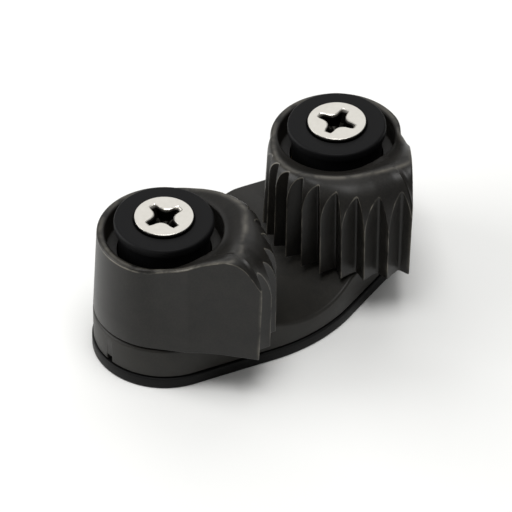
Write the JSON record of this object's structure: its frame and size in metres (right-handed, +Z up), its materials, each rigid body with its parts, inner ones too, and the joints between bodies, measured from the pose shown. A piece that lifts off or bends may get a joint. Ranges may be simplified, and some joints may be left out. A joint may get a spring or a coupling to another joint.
{
  "type": "cam cleat",
  "caption": "Deck cam cleat: two sprung, fluted cams on ball bearings grip a line between them, on an oval base held by two countersunk screws.",
  "frame": {"origin": "centre of the base's underside, midway between the two screw axes", "axes": "+Z up out of the surface it is screwed to; +X along the line from the left screw axis to the right one; +Y towards the loaded side of the line, so the cam noses point to -Y"},
  "size_m": [0.0628, 0.0395, 0.0293],
  "materials": {
    "deck_nylon": "moulded glass-filled nylon, satin dark warm grey",
    "cam_nylon": "moulded filled nylon, satin dark warm grey",
    "plate_nylon": "moulded nylon, near black",
    "hub_acetal": "moulded acetal, satin black",
    "screw_stainless": "bright stainless steel",
    "spring_wire": "drawn stainless spring wire",
    "keeper_acetal": "natural acetal washer",
    "ball_plastic": "polished bearing plastic"
  },
  "bodies": {
    "base": {"base_body": "deck_nylon", "bottom_plate": "plate_nylon", "left_hub": "hub_acetal", "right_hub": "hub_acetal", "left_screw": "screw_stainless", "right_screw": "screw_stainless", "left_spring": "spring_wire", "right_spring": "spring_wire", "left_ball_keeper": "keeper_acetal", "right_ball_keeper": "keeper_acetal"},
    "left_cam": {"left_cam": "cam_nylon"},
    "right_cam": {"right_cam": "cam_nylon"},
    "left_balls": {"left_lower_ball_01": "ball_plastic", "left_lower_ball_02": "ball_plastic", "left_lower_ball_03": "ball_plastic", "left_lower_ball_04": "ball_plastic", "left_lower_ball_05": "ball_plastic", "left_lower_ball_06": "ball_plastic", "left_lower_ball_07": "ball_plastic", "left_lower_ball_08": "ball_plastic", "left_lower_ball_09": "ball_plastic", "left_lower_ball_10": "ball_plastic", "left_lower_ball_11": "ball_plastic", "left_upper_ball_01": "ball_plastic", "left_upper_ball_02": "ball_plastic", "left_upper_ball_03": "ball_plastic", "left_upper_ball_04": "ball_plastic", "left_upper_ball_05": "ball_plastic", "left_upper_ball_06": "ball_plastic", "left_upper_ball_07": "ball_plastic", "left_upper_ball_08": "ball_plastic", "left_upper_ball_09": "ball_plastic", "left_upper_ball_10": "ball_plastic", "left_upper_ball_11": "ball_plastic"},
    "right_balls": {"right_lower_ball_01": "ball_plastic", "right_lower_ball_02": "ball_plastic", "right_lower_ball_03": "ball_plastic", "right_lower_ball_04": "ball_plastic", "right_lower_ball_05": "ball_plastic", "right_lower_ball_06": "ball_plastic", "right_lower_ball_07": "ball_plastic", "right_lower_ball_08": "ball_plastic", "right_lower_ball_09": "ball_plastic", "right_lower_ball_10": "ball_plastic", "right_lower_ball_11": "ball_plastic", "right_upper_ball_01": "ball_plastic", "right_upper_ball_02": "ball_plastic", "right_upper_ball_03": "ball_plastic", "right_upper_ball_04": "ball_plastic", "right_upper_ball_05": "ball_plastic", "right_upper_ball_06": "ball_plastic", "right_upper_ball_07": "ball_plastic", "right_upper_ball_08": "ball_plastic", "right_upper_ball_09": "ball_plastic", "right_upper_ball_10": "ball_plastic", "right_upper_ball_11": "ball_plastic"}
  },
  "joints": [
    {"name": "left_cam_pivot", "type": "hinge", "parent": "base", "child": "left_cam", "pos_m": [-0.01905, 0, 0.0084], "axis": [0, 0, 1], "range_deg": [-30, 40], "stiffness_Nm_per_rad": 0.1, "springref_deg": 91.67, "deforming": ["left_spring"]},
    {"name": "right_cam_pivot", "type": "hinge", "parent": "base", "child": "right_cam", "pos_m": [0.01905, 0, 0.0084], "axis": [0, 0, 1], "range_deg": [-40, 30], "stiffness_Nm_per_rad": 0.1, "springref_deg": -91.67, "deforming": ["right_spring"]},
    {"name": "left_ball_orbit", "type": "hinge", "parent": "base", "child": "left_balls", "pos_m": [-0.01905, 0, 0.0084], "axis": [0, 0, 1], "range_deg": [-20, 26]},
    {"name": "right_ball_orbit", "type": "hinge", "parent": "base", "child": "right_balls", "pos_m": [0.01905, 0, 0.0084], "axis": [0, 0, 1], "range_deg": [-26, 20]}
  ],
  "couplings": [
    {"joint": "left_ball_orbit", "follows": "left_cam_pivot", "ratio": 0.628},
    {"joint": "right_ball_orbit", "follows": "right_cam_pivot", "ratio": 0.628}
  ]
}
